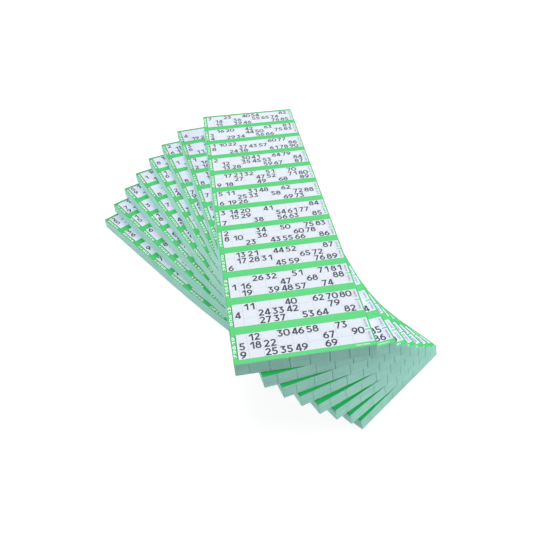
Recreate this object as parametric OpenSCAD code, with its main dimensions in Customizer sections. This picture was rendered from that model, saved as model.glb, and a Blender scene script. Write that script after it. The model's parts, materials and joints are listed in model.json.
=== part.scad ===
// Eight pads of bingo leaves, laid on each other and fanned out like a hand of cards.
// Each leaf is a column of twelve tickets, printed on its upper side.
// The origin is where the axis of the fan meets the table. X runs across the top pad from left to
// right as it is read, Y runs along it away from the reader, and Z points up.

/* [Leaf] */
// Width of a leaf, across the nine columns of a ticket
leaf_w = 98; // [80:1:120]
// Length of a leaf, along its twelve tickets
leaf_l = 348; // [280:1:420]
// Thickness of a leaf, ink included
leaf_t = 0.095; // [0.08:0.005:0.12]

/* [Pad] */
// Lifts of leaves in a pad, the top leaf included
lift_count = 5; // [3:1:8]
// Leaves in one lift, the handful that is knocked up and cut at once
leaves_per_lift = 20; // [10:1:24]
// How far the lowest leaves reach out under the top leaf at the near edge
near_creep = 2; // [0:0.1:3]
// How far the lowest leaves have slipped to the right at the near edge
side_slip = 0.4; // [0:0.1:1.5]
// How far a lift may stand out of line with the lifts around it
lift_jog = 0.12; // [0:0.02:0.3]
// Nicks that the knife leaves down the near edge of a pad
nick_count = 7; // [2:1:9]
// Width of a nick at its mouth
nick_w = 0.4; // [0.2:0.1:1]
// Depth of a nick
nick_depth = 0.7; // [0.2:0.1:1.4]
// From the left edge of a leaf to the first nick
first_nick_x = 9.8; // [4:0.2:20]
// From the last nick to the right edge of a leaf
last_nick_gap = 5.9; // [2:0.1:20]
// Air between two pads, and between a block and the leaf that lies loose on it
air_t = 0.02; // [0.01:0.01:0.1]
// Thickness of the gum film on the far edge
gum_t = 0.4; // [0.2:0.1:0.8]

/* [Fan] */
// Angle from the top pad to the lowest pad
fan_angle = 35.6; // [20:0.2:56]

/* [Print] */
// How far the ink stands above the bare paper
ink_t = 0.02; // [0.01:0.005:0.04]
// Green border beyond the last ticket, at the far edge
far_border = 2.7; // [1.5:0.1:6]
// Green border before the first ticket, at the near edge
near_border = 3.6; // [1.5:0.1:6]
// Green border at the right edge, outside the stub boxes
right_border = 1.1; // [0.4:0.1:2]
// Green margin at the left edge, beside the first column
left_margin = 3.6; // [2:0.1:6]
// Green band between two tickets
band_h = 7; // [4:0.2:9]
// Width of the first column, which holds single digits only
first_col_w = 7.4; // [5:0.1:9]
// Width of the stub boxes at the right of a ticket
stub_w = 3.6; // [2:0.1:5]
// Height of the green tick between the two stub boxes of a ticket
stub_tick_h = 1.1; // [0.4:0.1:2]
// Width of the lines between the cells of a ticket
cell_line_w = 0.25; // [0.1:0.05:0.6]

/* [Hidden] */

// Pads are numbered from the top of the pile down
pad_count = 8;
ticket_count = 12;
row_count = 3;
column_count = 9;

// How much of the fan's angle lies between the top pad and each pad
turn_shares = [0, 0.223, 0.37, 0.5, 0.636, 0.766, 0.894, 1];
// Where the axis of the fan passes through each pad, from its near left corner
axis_x_shares = [0.69, 0.694, 0.695, 0.692, 0.692, 0.688, 0.688, 0.701];
axis_y_shares = [0.374, 0.368, 0.367, 0.367, 0.369, 0.37, 0.37, 0.371];

// Heights in a pad. The block is every leaf but the top one.
lift_t = leaves_per_lift * leaf_t;
block_t = lift_count * lift_t - leaf_t;
leaf_z = block_t + air_t;
pad_pitch = leaf_z + leaf_t + air_t;

nick_pitch = (leaf_w - first_nick_x - last_nick_gap) / (nick_count - 1);

// Turns the jog of one lift away from that of the next, so that no two match
jog_turn = 137.5;

// The grid of a ticket
ticket_pitch = (leaf_l - far_border - near_border + band_h) / ticket_count;
ticket_h = ticket_pitch - band_h;
row_h = ticket_h / row_count;
stub_x = leaf_w - right_border - stub_w;
column_w = (stub_x - left_margin - first_col_w) / (column_count - 1);
stub_h = (ticket_h - stub_tick_h) / 2;

paper_colour = "#eceefa";
ink_colour = "#5bd488";
cut_edge_colour = "#8fc6b1";
gum_colour = "#dfe8dc";

// Left edge of a column, counted from 0 at the left
function column_left(column) =
    left_margin + (column == 0 ? 0 : first_col_w + (column - 1) * column_w);

// Width of a column
function column_width(column) = column == 0 ? first_col_w : column_w;

// Near edge of a ticket, counted from 0 at the far end of the leaf
function ticket_near(ticket) = leaf_l - far_border - ticket * ticket_pitch - ticket_h;

// How far a lift of a pad stands out of line, as a signed length
function jog(pad, lift) = lift_jog * sin((pad_count * lift + pad) * jog_turn);

// Puts a pad's pieces, drawn from its near left corner, in their place in the fan
module in_fan(pad) {
    turn = fan_angle * turn_shares[pad - 1];
    rotate([0, 0, turn])
        translate([
            -leaf_w * axis_x_shares[pad - 1],
            -leaf_l * axis_y_shares[pad - 1],
            (pad_count - pad) * pad_pitch
        ])
            children();
}

// Outline of a leaf whose near edge, with its nicks, is slipped: the far edge is held in the gum
module leaf_outline(slip_x = 0, creep = 0) {
    nicks = [
        for (nick = [0 : nick_count - 1], side = [-1, 0, 1])
            [
                slip_x + first_nick_x + nick * nick_pitch + side * nick_w / 2,
                side == 0 ? nick_depth - creep : -creep
            ]
    ];
    polygon(concat(
        [[0, leaf_l], [slip_x, -creep]],
        nicks,
        [[leaf_w + slip_x, -creep], [leaf_w, leaf_l]]
    ));
}

// The nine by three cells of one ticket, with lines of bare ink between them
module ticket_cells() {
    for (column = [0 : column_count - 1], row = [0 : row_count - 1])
        translate([column_left(column) + cell_line_w / 2, row * row_h + cell_line_w / 2])
            square([column_width(column) - cell_line_w, row_h - cell_line_w]);
}

// The white panel of one ticket, with no lines in it
module ticket_panel() {
    translate([left_margin + cell_line_w / 2, cell_line_w / 2])
        square([stub_x - left_margin - cell_line_w, ticket_h - cell_line_w]);
}

// The two stub boxes at the right of one ticket
module ticket_stubs() {
    for (box = [0, 1])
        translate([stub_x + cell_line_w / 2, box * (stub_h + stub_tick_h)])
            square([stub_w - cell_line_w / 2, stub_h]);
}

// Everything on a leaf that the ink leaves bare
module bare_paper(with_cells) {
    for (ticket = [0 : ticket_count - 1])
        translate([0, ticket_near(ticket)]) {
            if (with_cells) ticket_cells();
            else ticket_panel();
            ticket_stubs();
        }
}

// The printed leaf on top of a pad. The top pad is seen whole, so its tickets have their cells.
module pad_top_leaf(pad) {
    in_fan(pad)
        translate([0, 0, leaf_z]) {
            color(paper_colour)
                linear_extrude(leaf_t - ink_t)
                    leaf_outline();
            color(ink_colour)
                translate([0, 0, leaf_t - ink_t])
                    linear_extrude(ink_t)
                        difference() {
                            leaf_outline();
                            bare_paper(with_cells = pad == 1);
                        }
        }
}

// The leaves under the top one, as the stepped lifts that they were cut in. The lowest lift
// has slipped the most, and the uppermost is a leaf short, because the top leaf is its own piece.
module pad_leaves(pad) {
    color(cut_edge_colour)
        in_fan(pad)
            for (lift = [0 : lift_count - 1]) {
                slipped = (lift_count - lift) / lift_count;
                translate([0, 0, lift * lift_t])
                    linear_extrude(min(lift_t, block_t - lift * lift_t))
                        leaf_outline(
                            side_slip * slipped + jog(pad, lift),
                            near_creep * slipped + jog(pad + pad_count, lift)
                        );
            }
}

// The gum film that holds the leaves together at their far edge, with bevelled ends
module pad_gum(pad) {
    bevel = gum_t / 2;
    color(gum_colour)
        in_fan(pad)
            translate([0, leaf_l, 0])
                linear_extrude(block_t)
                    polygon([
                        [0, 0],
                        [leaf_w, 0],
                        [leaf_w, bevel],
                        [leaf_w - bevel, gum_t],
                        [bevel, gum_t],
                        [0, bevel]
                    ]);
}

pad_top_leaf(1);  // pad_1_top_leaf
pad_leaves(1);  // pad_1_leaves
pad_gum(1);  // pad_1_gum
pad_top_leaf(2);  // pad_2_top_leaf
pad_leaves(2);  // pad_2_leaves
pad_gum(2);  // pad_2_gum
pad_top_leaf(3);  // pad_3_top_leaf
pad_leaves(3);  // pad_3_leaves
pad_gum(3);  // pad_3_gum
pad_top_leaf(4);  // pad_4_top_leaf
pad_leaves(4);  // pad_4_leaves
pad_gum(4);  // pad_4_gum
pad_top_leaf(5);  // pad_5_top_leaf
pad_leaves(5);  // pad_5_leaves
pad_gum(5);  // pad_5_gum
pad_top_leaf(6);  // pad_6_top_leaf
pad_leaves(6);  // pad_6_leaves
pad_gum(6);  // pad_6_gum
pad_top_leaf(7);  // pad_7_top_leaf
pad_leaves(7);  // pad_7_leaves
pad_gum(7);  // pad_7_gum
pad_top_leaf(8);  // pad_8_top_leaf
pad_leaves(8);  // pad_8_leaves
pad_gum(8);  // pad_8_gum
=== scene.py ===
"""Dresses eight fanned pads of bingo leaves and lights them for their studio picture.

Sizes are in metres. A pad is drawn in its own frame, with the near left corner of its leaves at
the origin, X across the tickets and Y away from the reader, and is then laid in the fan.
"""

from __future__ import annotations

import json
import logging
import math
import random
from collections.abc import Callable, Iterator, Sequence
from contextlib import contextmanager
from dataclasses import dataclass, field, replace
from enum import Enum, IntEnum

import bmesh
import bpy
from mathutils import Matrix, Vector

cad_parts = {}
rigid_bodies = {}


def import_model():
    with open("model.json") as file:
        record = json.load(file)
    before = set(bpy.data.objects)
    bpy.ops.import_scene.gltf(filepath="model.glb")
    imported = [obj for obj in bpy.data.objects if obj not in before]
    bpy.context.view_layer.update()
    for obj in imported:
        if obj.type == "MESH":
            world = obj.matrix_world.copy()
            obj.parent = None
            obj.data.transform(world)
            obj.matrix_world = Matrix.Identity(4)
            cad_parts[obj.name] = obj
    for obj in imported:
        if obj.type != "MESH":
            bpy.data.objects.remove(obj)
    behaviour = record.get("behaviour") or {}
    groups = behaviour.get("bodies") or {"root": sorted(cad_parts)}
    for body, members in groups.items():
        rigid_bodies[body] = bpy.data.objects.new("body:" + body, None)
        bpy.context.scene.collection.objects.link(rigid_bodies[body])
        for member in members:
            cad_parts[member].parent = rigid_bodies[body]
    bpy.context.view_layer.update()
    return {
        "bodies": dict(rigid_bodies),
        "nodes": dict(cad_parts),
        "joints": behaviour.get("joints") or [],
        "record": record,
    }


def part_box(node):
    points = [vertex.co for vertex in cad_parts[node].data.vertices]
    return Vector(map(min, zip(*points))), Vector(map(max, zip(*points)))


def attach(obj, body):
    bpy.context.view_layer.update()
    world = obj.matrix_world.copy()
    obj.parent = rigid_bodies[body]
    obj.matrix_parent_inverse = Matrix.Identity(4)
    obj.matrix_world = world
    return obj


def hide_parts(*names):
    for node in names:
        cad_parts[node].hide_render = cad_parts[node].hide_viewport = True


LOG = logging.getLogger("scene")
MM = 0.001
# Distances below this are one point to the modelling tools
CLOSE = 1e-7
# A corner within this of a place is the corner that is meant
TOUCHING = CLOSE * 10
# A face whose normal rises more than this looks up, and one below it is a side
LEVEL = 0.5

ACROSS = Vector((1, 0, 0))
ALONG = Vector((0, 1, 0))
UPRIGHT = Vector((0, 0, 1))
WHITE = (1, 1, 1, 1)

Colour = tuple[float, float, float, float]
Test = Callable[[Vector, Vector], bool]
Placed = tuple[bpy.types.Object, Matrix]


class Seed(IntEnum):
    """Where each kind of chance starts. A pad's own number is added to it."""

    GUM = 41
    DEAL = 90
    BLOCK = 300
    STUBS = 500
    MARGIN = 700


# Stands in for a pad's number on the leaf that shows when the top one is lifted
SECOND_LEAF = 90


def screen_colour(red: float, green: float, blue: float) -> Colour:
    """Turns a colour as it is read off a screen into the linear one that shaders use.

    Args:
        red: Red, from 0 to 255.
        green: Green, from 0 to 255.
        blue: Blue, from 0 to 255.

    Returns:
        The linear colour, with an alpha of 1.
    """

    def linear(value: float) -> float:
        """Undoes the screen's curve for one channel."""
        share = value / 255
        return share / 12.92 if share <= 0.04045 else ((share + 0.055) / 1.055) ** 2.4

    return (linear(red), linear(green), linear(blue), 1.0)


# Shaders and finishes


class Socket:
    """A shader value that Python's signs work on, each sign as one Math node."""

    def __init__(self, tree: bpy.types.NodeTree, socket: bpy.types.NodeSocket) -> None:
        """Keeps the tree and the socket that the value comes out of."""
        self.tree = tree
        self.socket = socket

    def _math(self, operation: str, first: Socket | float, second: Socket | float) -> Socket:
        """Adds one Math node.

        Args:
            operation: The node's operation.
            first: What goes into its first socket.
            second: What goes into its second socket.

        Returns:
            The result.
        """
        node = self.tree.nodes.new("ShaderNodeMath")
        node.operation = operation
        for place, value in enumerate((first, second)):
            if isinstance(value, Socket):
                self.tree.links.new(value.socket, node.inputs[place])
            else:
                node.inputs[place].default_value = value
        return Socket(self.tree, node.outputs[0])

    def __add__(self, other: Socket | float) -> Socket:
        """Adds."""
        return self._math("ADD", self, other)

    __radd__ = __add__

    def __sub__(self, other: Socket | float) -> Socket:
        """Takes away."""
        return self._math("SUBTRACT", self, other)

    def __mul__(self, other: Socket | float) -> Socket:
        """Multiplies."""
        return self._math("MULTIPLY", self, other)


class Nodes:
    """The nodes of one material or world, each added by its type."""

    def __init__(self, owner: bpy.types.Material | bpy.types.World) -> None:
        """Starts with an empty node tree.

        Args:
            owner: The material or the world.
        """
        owner.use_nodes = True
        self.tree = owner.node_tree
        self.tree.nodes.clear()

    def add(
        self,
        kind: str,
        settings: dict[str, object] | None = None,
        inputs: dict[str | int, object] | None = None,
        output: str | int = 0,
    ) -> Socket:
        """Adds a node: its settings first, then what goes into it.

        Args:
            kind: The node's type.
            settings: Its settings.
            inputs: A number, colour or Socket for each socket that isn't left as it is.
            output: The output that is asked for.

        Returns:
            That output.
        """
        node = self.tree.nodes.new(kind)
        for name, value in (settings or {}).items():
            setattr(node, name, value)
        for key, value in (inputs or {}).items():
            if isinstance(value, Socket):
                self.tree.links.new(value.socket, node.inputs[key])
            else:
                node.inputs[key].default_value = value
        outputs = node.outputs
        return Socket(self.tree, outputs[output]) if len(outputs) else Socket(self.tree, None)

    def place(self, stretch: tuple[float, float, float] = (1, 1, 1)) -> Socket:
        """Gives the place of a point on the object, stretched along each axis."""
        spot = self.add("ShaderNodeTexCoord", output="Object")
        return self.add(
            "ShaderNodeVectorMath", {"operation": "MULTIPLY"}, {0: spot, 1: stretch}
        )

    def noise(self, where: Socket, scale: float, detail: float = 2, rough: float = 0.5) -> Socket:
        """Gives noise from 0 to 1 that is read at a place."""
        return self.add(
            "ShaderNodeTexNoise",
            None,
            {"Vector": where, "Scale": scale, "Detail": detail, "Roughness": rough},
            "Fac",
        )

    def span(self, value: Socket, low: float, high: float) -> Socket:
        """Stretches the part of a value between low and high over 0 to 1, and stops there."""
        return self.add(
            "ShaderNodeMapRange", {"clamp": True}, {"Value": value, 1: low, 2: high}
        )

    def mix(self, share: Socket | float, first: object, second: object) -> Socket:
        """Mixes two colours."""
        return self.add(
            "ShaderNodeMix", {"data_type": "RGBA"}, {0: share, 6: first, 7: second}, 2
        )

    def bump(self, height: Socket, distance: float, strength: float) -> Socket:
        """Turns a height into a relief of that many metres."""
        return self.add(
            "ShaderNodeBump",
            None,
            {"Height": height, "Distance": distance, "Strength": strength},
        )


@dataclass(frozen=True)
class Finish:
    """One surface of the leaves, as a colour, a second colour that it drifts to, and a sheen."""

    name: str
    colour: Colour
    drift: Colour
    roughness: float = 0.6
    specular: float = 0.5

    def build(self) -> bpy.types.Material:
        """Makes the material, or finds it where another piece had it made.

        Returns:
            The material.
        """
        known = bpy.data.materials.get(self.name)
        if known:
            return known
        material = bpy.data.materials.new(self.name)
        nodes = Nodes(material)
        colour, rough, relief = self.surface(nodes)
        shader = nodes.add(
            "ShaderNodeBsdfPrincipled",
            None,
            {
                "Base Color": colour,
                "Roughness": rough,
                "Normal": relief,
                "Specular IOR Level": self.specular,
            },
        )
        nodes.add("ShaderNodeOutputMaterial", None, {"Surface": shader})
        return material

    def surface(self, nodes: Nodes) -> tuple[Socket, Socket, Socket]:
        """Lays the surface's nodes.

        Args:
            nodes: The material's nodes.

        Returns:
            The colour, the roughness and the relief.
        """
        raise NotImplementedError


@dataclass(frozen=True)
class Newsprint(Finish):
    """Thin white paper: cloudy against the light, with short fibres and a faint tooth."""

    cloud_scale: float = 260.0
    fibre_scale: float = 2600.0
    tooth: float = 1.6e-5

    def surface(self, nodes: Nodes) -> tuple[Socket, Socket, Socket]:
        """Lays the paper's nodes.

        Args:
            nodes: The material's nodes.

        Returns:
            The colour, the roughness and the relief.
        """
        cloud = nodes.noise(nodes.place(), self.cloud_scale, 3, 0.6)
        fibres = nodes.noise(nodes.place((1.0, 0.35, 1.0)), self.fibre_scale, 3, 0.65)
        share = nodes.span(cloud * 0.6 + fibres * 0.4, 0.3, 0.75)
        rough = self.roughness + fibres * 0.12
        return nodes.mix(share, self.colour, self.drift), rough, nodes.bump(
            fibres, self.tooth, 0.5
        )


@dataclass(frozen=True)
class PrintedInk(Finish):
    """Offset ink on thin paper: it is uneven, with fine pinholes, and the fibres show."""

    mottle_scale: float = 900.0
    band_scale: float = 24.0
    hole_scale: float = 5200.0
    pinholes: float = 0.5
    relief: float = 1.2e-5

    def surface(self, nodes: Nodes) -> tuple[Socket, Socket, Socket]:
        """Lays the ink's nodes.

        Args:
            nodes: The material's nodes.

        Returns:
            The colour, the roughness and the relief.
        """
        bands = nodes.noise(nodes.place((0.4, 1.0, 0.2)), self.band_scale, 2)
        mottle = nodes.noise(nodes.place(), self.mottle_scale, 3, 0.6)
        holes = nodes.span(nodes.noise(nodes.place(), self.hole_scale, 2), 0.66, 0.8)
        holes = holes * self.pinholes
        share = nodes.span(bands * 0.45 + mottle * 0.55, 0.3, 0.72) * 0.85 + holes
        rough = self.roughness + mottle * 0.14
        relief = nodes.bump(mottle * 0.6 - holes * 0.4, self.relief, 0.45)
        return nodes.mix(share, self.colour, self.drift), rough, relief


@dataclass(frozen=True)
class CutEdge(Finish):
    """The knife's cut through a hundred leaves: streaks along the leaves, and fine dust."""

    dust: Colour = (0.8, 0.8, 0.8, 1.0)
    leaf_scale: float = 5200.0
    lift_scale: float = 620.0
    handling_scale: float = 38.0
    speck_scale: float = 1100.0
    relief: float = 4e-5

    def surface(self, nodes: Nodes) -> tuple[Socket, Socket, Socket]:
        """Lays the cut edges' nodes.

        Args:
            nodes: The material's nodes.

        Returns:
            The colour, the roughness and the relief.
        """
        leaves = nodes.noise(nodes.place((0.006, 0.006, 1.0)), self.leaf_scale, 2, 0.6)
        lifts = nodes.noise(nodes.place((0.02, 0.02, 1.0)), self.lift_scale, 3, 0.6)
        handling = nodes.noise(nodes.place((1.0, 1.0, 0.6)), self.handling_scale, 3, 0.6)
        specks = nodes.noise(nodes.place(), self.speck_scale, 3, 0.7)
        share = nodes.span(
            leaves * 0.3 + lifts * 0.28 + handling * 0.14 + specks * 0.28, 0.36, 0.64
        )
        dusty = nodes.span(specks * 0.7 + handling * 0.3, 0.56, 0.78) * 0.35
        colour = nodes.mix(dusty, nodes.mix(share, self.colour, self.drift), self.dust)
        relief = nodes.bump(leaves * 0.7 + specks * 0.3, self.relief, 0.4)
        return colour, self.roughness + specks * 0.15, relief


@dataclass(frozen=True)
class BrushedGum(Finish):
    """Padding gum that was brushed down over the far edges and has dried to a thin skin."""

    stroke_scale: float = 900.0
    pool_scale: float = 90.0
    leaf_scale: float = 4600.0
    relief: float = 1.2e-4

    def surface(self, nodes: Nodes) -> tuple[Socket, Socket, Socket]:
        """Lays the gum's nodes.

        Args:
            nodes: The material's nodes.

        Returns:
            The colour, the roughness and the relief.
        """
        strokes = nodes.noise(nodes.place((1.0, 1.0, 0.05)), self.stroke_scale, 3, 0.6)
        pools = nodes.noise(nodes.place(), self.pool_scale, 3, 0.5)
        edges = nodes.noise(nodes.place((0.006, 0.006, 1.0)), self.leaf_scale, 2)
        share = nodes.span(strokes * 0.4 + pools * 0.35 + edges * 0.25, 0.32, 0.68)
        relief = nodes.bump(strokes * 0.6 + pools * 0.4, self.relief, 0.5)
        return nodes.mix(share, self.colour, self.drift), self.roughness + pools * 0.2, relief


PAPER = Newsprint(
    "bare_paper", screen_colour(228, 235, 245), screen_colour(222, 230, 241), 0.78, 0.25
)
# The lower pads' paper is a shade brighter and bluer than the top one's: painted light, which
# makes up for the shade and the green bounce that the pad above casts on their strips
LOWER_PAPER_PAINTED_LIGHT = Newsprint(
    "lower_paper", screen_colour(233, 235, 254), screen_colour(227, 230, 250), 0.78, 0.25
)
GREEN_INK = PrintedInk(
    "green_ink", screen_colour(4, 188, 84), screen_colour(18, 196, 94), 0.34, 0.5
)
PALE_LINE = PrintedInk(
    "cell_line", screen_colour(192, 197, 211), screen_colour(206, 211, 224), 0.6, 0.3
)
FIGURE_INK = PrintedInk(
    "figure_ink", screen_colour(30, 30, 48), screen_colour(48, 48, 70), 0.5, 0.4
)
STUB_INK = PrintedInk(
    "stub_ink", screen_colour(134, 128, 166), screen_colour(152, 146, 184), 0.6, 0.3
)
MARGIN_BARE = PrintedInk(
    "margin_figures", screen_colour(240, 250, 246), screen_colour(226, 242, 234), 0.6, 0.3
)
MARGIN_LINE = PrintedInk(
    "margin_line", screen_colour(20, 92, 68), screen_colour(30, 108, 80), 0.5, 0.4
)
EDGE = CutEdge(
    "cut_edge",
    screen_colour(144, 202, 188),
    screen_colour(181, 227, 216),
    0.85,
    0.2,
    dust=screen_colour(198, 226, 219),
)
GUM = BrushedGum(
    "brushed_gum", screen_colour(204, 226, 212), screen_colour(170, 208, 192), 0.38, 0.4
)


# Modelling tools


class Part(Enum):
    """What a modelling tool works on."""

    VERT = "verts"
    FACE = "faces"


def let_go() -> None:
    """Selects nothing, so that the next tool acts on its own piece alone."""
    bpy.ops.object.select_all(action="DESELECT")


def take(piece: bpy.types.Object) -> None:
    """Selects one piece alone and makes it the active one.

    Args:
        piece: The piece.
    """
    let_go()
    piece.select_set(True)
    bpy.context.view_layer.objects.active = piece


@contextmanager
def editing(piece: bpy.types.Object, part: Part = Part.FACE) -> Iterator[None]:
    """Opens a piece in edit mode with nothing selected, and closes it again.

    Args:
        piece: The piece.
        part: Whether points or faces are picked.

    Yields:
        Nothing.
    """
    take(piece)
    bpy.ops.object.mode_set(mode="EDIT")
    bpy.ops.mesh.select_mode(type=part.name)
    bpy.ops.mesh.select_all(action="DESELECT")
    yield
    bpy.ops.object.mode_set(mode="OBJECT")


def pick(part: Part, test: Test) -> None:
    """Selects what passes a test in the piece that is open, and nothing else.

    Args:
        part: Whether points or faces are tested.
        test: Says yes or no to the middle and the normal of each.
    """
    mesh = bpy.context.edit_object.data
    bpy.ops.mesh.select_all(action="DESELECT")
    shape = bmesh.from_edit_mesh(mesh)
    for item in getattr(shape, part.value):
        middle = item.co if part is Part.VERT else item.calc_center_median()
        if test(middle, item.normal):
            item.select_set(True)
    shape.select_flush_mode()
    bmesh.update_edit_mesh(mesh)


def cut(test: Test, places: Sequence[float], across: Vector) -> None:
    """Bisects the faces that pass a test.

    Args:
        test: Which faces are cut.
        places: Where the cuts are, along the direction across them.
        across: The direction across the cuts.
    """
    for place in places:
        pick(Part.FACE, test)
        bpy.ops.mesh.bisect(plane_co=across * place, plane_no=across, threshold=CLOSE)


def every(_middle: Vector, _normal: Vector) -> bool:
    """Passes everything."""
    return True


def upward(_middle: Vector, normal: Vector) -> bool:
    """Passes the faces that look up."""
    return normal.z > LEVEL


def start_sheet(name: str, width: float, length: float) -> bpy.types.Object:
    """Lays a bare sheet with its near left corner at the origin.

    Args:
        name: The piece's name.
        width: Its size along X.
        length: Its size along Y.

    Returns:
        The piece.
    """
    let_go()
    bpy.ops.mesh.primitive_plane_add(size=1, location=(width / 2, length / 2, 0))
    sheet = bpy.context.object
    sheet.name = name
    sheet.scale = (width, length, 1)
    bpy.ops.object.transform_apply(location=True, rotation=False, scale=True)
    return sheet


def settle() -> None:
    """Selects all of the piece that is open, and puts it in the same order at each run.

    Cuts and unions leave points and faces in no fixed order, and later tools follow the order.
    """
    bpy.ops.mesh.select_all(action="SELECT")
    bpy.ops.mesh.sort_elements(type="CURSOR_DISTANCE", elements={"VERT", "EDGE", "FACE"})


def thicken(height: float) -> None:
    """Makes the open flat shape that is in edit mode a closed solid.

    Args:
        height: The solid's height.
    """
    settle()
    bpy.ops.mesh.extrude_region_move(TRANSFORM_OT_translate={"value": (0, 0, height)})
    bpy.ops.mesh.select_all(action="SELECT")
    bpy.ops.mesh.normals_make_consistent(inside=False)


def drop(pieces: Sequence[bpy.types.Object]) -> None:
    """Throws patterns away once the copies are made from them.

    Args:
        pieces: The patterns.
    """
    for piece in pieces:
        mesh = piece.data
        bpy.data.objects.remove(piece)
        bpy.data.meshes.remove(mesh)


def lay_out(
    name: str, places: Sequence[Placed], finish: Finish | None = None
) -> bpy.types.Object:
    """Copies patterns to their places and joins the copies to one piece.

    Args:
        name: The piece's name.
        places: Each pattern with the place of one copy of it.
        finish: The finish of the whole piece, or None where the patterns bring their own.

    Returns:
        The piece, at the origin, with its place in its mesh.
    """
    let_go()
    copies = []
    for pattern, place in places:
        copy = pattern.copy()
        copy.data = pattern.data.copy()
        bpy.context.scene.collection.objects.link(copy)
        copy.matrix_world = place
        copy.select_set(True)
        copies.append(copy)
    bpy.context.view_layer.objects.active = copies[0]
    if len(copies) > 1:
        bpy.ops.object.join()
    piece = bpy.context.object
    bpy.ops.object.transform_apply(location=True, rotation=True, scale=True)
    piece.name = name
    piece.data.name = name
    if finish:
        piece.data.materials.clear()
        piece.data.materials.append(finish.build())
    return piece


# The places of the pads, and what shapes their leaves


@dataclass(frozen=True)
class PadPlace:
    """Where a pad lies in the fan, and how large its leaves are."""

    corner: Vector
    turn: float
    width: float
    length: float
    low: float
    block_top: float
    leaf_low: float

    @classmethod
    def read(cls, frame: dict, pad: int) -> PadPlace:
        """Reads a pad's place from the solids of its leaves.

        Args:
            frame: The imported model.
            pad: The pad's number, from 1 at the top of the pile.

        Returns:
            The place.
        """
        node = f"pad_{pad}_top_leaf"
        spots = [vertex.co.copy() for vertex in frame["nodes"][node].data.vertices]
        # A little of the other axis settles which corner of a squarely laid leaf is meant
        other = 1e-3
        near_left = min(spots, key=lambda co: co.y + co.x * other)
        near_right = max(spots, key=lambda co: co.x - co.y * other)
        far_left = min(spots, key=lambda co: co.x - co.y * other)
        along = (near_right - near_left).to_2d()
        low, block_top = (corner.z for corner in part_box(f"pad_{pad}_leaves"))
        return cls(
            near_left.to_2d().to_3d(),
            math.atan2(along.y, along.x),
            along.length,
            (far_left - near_left).to_2d().length,
            low,
            block_top,
            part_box(node)[0].z,
        )

    def matrix(self, height: float = 0.0) -> Matrix:
        """Gives the place of the pad's own frame, lifted to a height."""
        spot = self.corner + Vector((0, 0, height))
        return Matrix.Translation(spot) @ Matrix.Rotation(self.turn, 4, "Z")


@dataclass(frozen=True)
class Bow:
    """How the long sides bulge to the left between the ends, more in each pad down the pile.

    The ends are held, by the gum at the far one and by the pile at the near one.
    """

    lowest_pad: float = 4.5 * MM
    lowest_leaf: float = 1.5 * MM
    growth: float = 1.5
    pads: int = 8

    def bend(self, piece: bpy.types.Object, place: PadPlace, pad: int) -> None:
        """Moves the points of a piece out with the pad that it is part of.

        Args:
            piece: The piece.
            place: Where the pad lies.
            pad: The pad's number, from 1 at the top of the pile.
        """
        reach = self.lowest_pad * ((pad - 1) / (self.pads - 1)) ** self.growth
        home = place.matrix().inverted()
        aside = place.matrix().to_3x3() @ -ACROSS
        height = place.block_top - place.low
        with editing(piece, Part.VERT):
            shape = bmesh.from_edit_mesh(piece.data)
            for point in shape.verts:
                along = min(max((home @ point.co).y / place.length, 0), 1)
                depth = max(place.block_top - point.co.z, 0) / height
                wave = math.sin(math.pi * along)
                leaf_reach = self.lowest_leaf * depth * math.sqrt(wave)
                point.co += aside * (reach * wave**2 + leaf_reach)
            bmesh.update_edit_mesh(piece.data)


@dataclass(frozen=True)
class Nicks:
    """The nicks that the knife left down the near edge of a pad. They deepen to the right."""

    count: int = 7
    width: float = 0.4 * MM
    shallow: float = 0.45 * MM
    deep: float = 1.0 * MM
    growth: float = 1.6
    first: float = 9.8 * MM
    last_gap: float = 5.9 * MM

    def places(self, leaf_width: float) -> list[tuple[float, float]]:
        """Gives how far right and how deep each nick is.

        Args:
            leaf_width: The width of a leaf.

        Returns:
            One pair for each nick, from the left.
        """
        pitch = (leaf_width - self.first - self.last_gap) / (self.count - 1)
        rise = self.deep - self.shallow
        return [
            (
                self.first + number * pitch,
                self.shallow + rise * (number / (self.count - 1)) ** self.growth,
            )
            for number in range(self.count)
        ]

    def notch(self, leaf_width: float, reach: float) -> None:
        """Cuts the nicks into the flat sheet that is in edit mode.

        Args:
            leaf_width: The width of the sheet.
            reach: How far from the near edge the sheet may be cut.
        """
        for middle, depth in self.places(leaf_width):
            sides = [middle - self.width / 2, middle, middle + self.width / 2]
            cut(lambda co, _normal: co.y < reach, sides, ACROSS)
            pick(
                Part.VERT,
                lambda co, _normal, x=middle: max(abs(co.x - x), abs(co.y)) < TOUCHING,
            )
            bpy.ops.transform.translate(value=(0, depth, 0))


# The print


class Ink(IntEnum):
    """What covers a face of the printed leaf, as the number of its material slot."""

    BARE = 0
    GREEN = 1
    LINE = 2
    CUT = 3


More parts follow.
